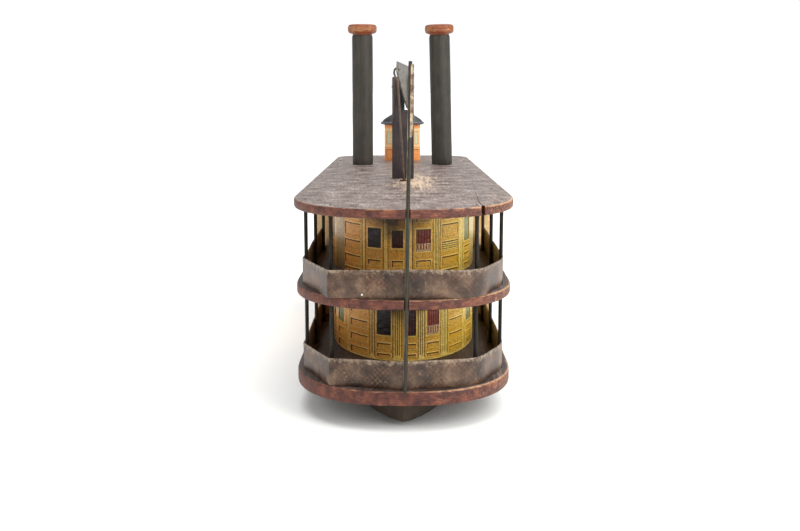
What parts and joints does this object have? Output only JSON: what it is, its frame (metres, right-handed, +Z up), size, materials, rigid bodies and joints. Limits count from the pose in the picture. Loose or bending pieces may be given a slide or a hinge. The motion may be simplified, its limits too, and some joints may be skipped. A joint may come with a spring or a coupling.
{
  "type": "toy boat",
  "caption": "Wooden toy river steamer with rounded decks, card railings, paddle boxes, twin smokestacks, a rocking walking beam and floor wheels.",
  "frame": {"origin": "on the floor under the middle of the boat, centre line, under the wheels", "axes": "+X to starboard, +Y to the bow, +Z up"},
  "size_m": [0.1484, 0.58, 0.2704],
  "materials": {
    "hull_wood": "dark brown paint over wood, worn",
    "deck_board": "brown printed paper on a thin board, rubbed",
    "printed_paper": "ochre printed house fronts, varnished and aged",
    "bare_wood": "bare aged softwood",
    "paddle_wood": "pale paper over wood",
    "nail_iron": "small iron nail heads",
    "rail_card": "dark printed card with fine gold lattice",
    "post_wire": "dark grey-green paint",
    "stack_wood": "dark grey-green paint, mottled",
    "cap_wood": "orange-brown stain on turned wood",
    "roof_wood": "blue-black paint",
    "gallows_wood": "mauve-brown paint, worn",
    "beam_tin": "dull grey tin",
    "rod_wire": "brown oxidised wire",
    "staff_wood": "dark green-black paint, chipped",
    "flag_paper": "torn cream paper",
    "wheel_wood": "turned and stained wood",
    "axle_wire": "dull iron wire"
  },
  "bodies": {
    "boat": {"hull": "hull_wood", "lower_deck": "deck_board", "middle_deck": "deck_board", "upper_deck": "deck_board", "lower_house_stern_block": "bare_wood", "lower_house_bow_block": "bare_wood", "lower_house_port_side": "bare_wood", "lower_house_starboard_side": "bare_wood", "lower_house_paper": "printed_paper", "upper_house_stern_block": "bare_wood", "upper_house_bow_block": "bare_wood", "upper_house_port_side": "bare_wood", "upper_house_starboard_side": "bare_wood", "upper_house_paper": "printed_paper", "paddle_box_port": "paddle_wood", "paddle_box_starboard": "paddle_wood", "paddle_paper_port": "printed_paper", "paddle_paper_starboard": "printed_paper", "lower_stern_rail": "rail_card", "lower_bow_rail": "rail_card", "middle_stern_rail": "rail_card", "middle_bow_rail": "rail_card", "lower_posts": "post_wire", "middle_posts": "post_wire", "smokestack_port": "stack_wood", "smokestack_starboard": "stack_wood", "stack_cap_port": "cap_wood", "stack_cap_starboard": "cap_wood", "stack_pegs": "bare_wood", "pilothouse": "bare_wood", "pilothouse_paper": "printed_paper", "pilothouse_roof": "roof_wood", "gallows": "gallows_wood", "gallows_strip": "gallows_wood", "beam_pin": "axle_wire", "flagstaff": "staff_wood", "flag_remnant": "flag_paper", "deck_nails": "nail_iron", "rail_tacks": "nail_iron"},
    "beam": {"walking_beam": "beam_tin"},
    "rod": {"connecting_rod": "rod_wire"},
    "crank_wheels": {"crank_axle": "axle_wire", "main_wheel_port": "wheel_wood", "main_wheel_starboard": "wheel_wood"},
    "front_wheels": {"front_axle": "axle_wire", "front_wheel_port": "wheel_wood", "front_wheel_starboard": "wheel_wood"}
  },
  "joints": [
    {"name": "beam_rock", "type": "hinge", "parent": "boat", "child": "beam", "pos_m": [0.0035, -0.059, 0.2126], "axis": [1, 0, 0], "range_deg": [0, 24]},
    {"name": "rod_swing", "type": "hinge", "parent": "beam", "child": "rod", "pos_m": [-0.00406, -0.10478, 0.22503], "axis": [1, 0, 0], "range_deg": [-24, 0]},
    {"name": "crank_axle_turn", "type": "hinge", "parent": "boat", "child": "crank_wheels", "pos_m": [0, -0.037, 0.0165], "axis": [1, 0, 0], "continuous": true},
    {"name": "front_axle_turn", "type": "hinge", "parent": "boat", "child": "front_wheels", "pos_m": [0, 0.165, 0.0115], "axis": [1, 0, 0], "continuous": true}
  ],
  "couplings": [
    {"joint": "rod_swing", "follows": "beam_rock", "ratio": -1}
  ]
}
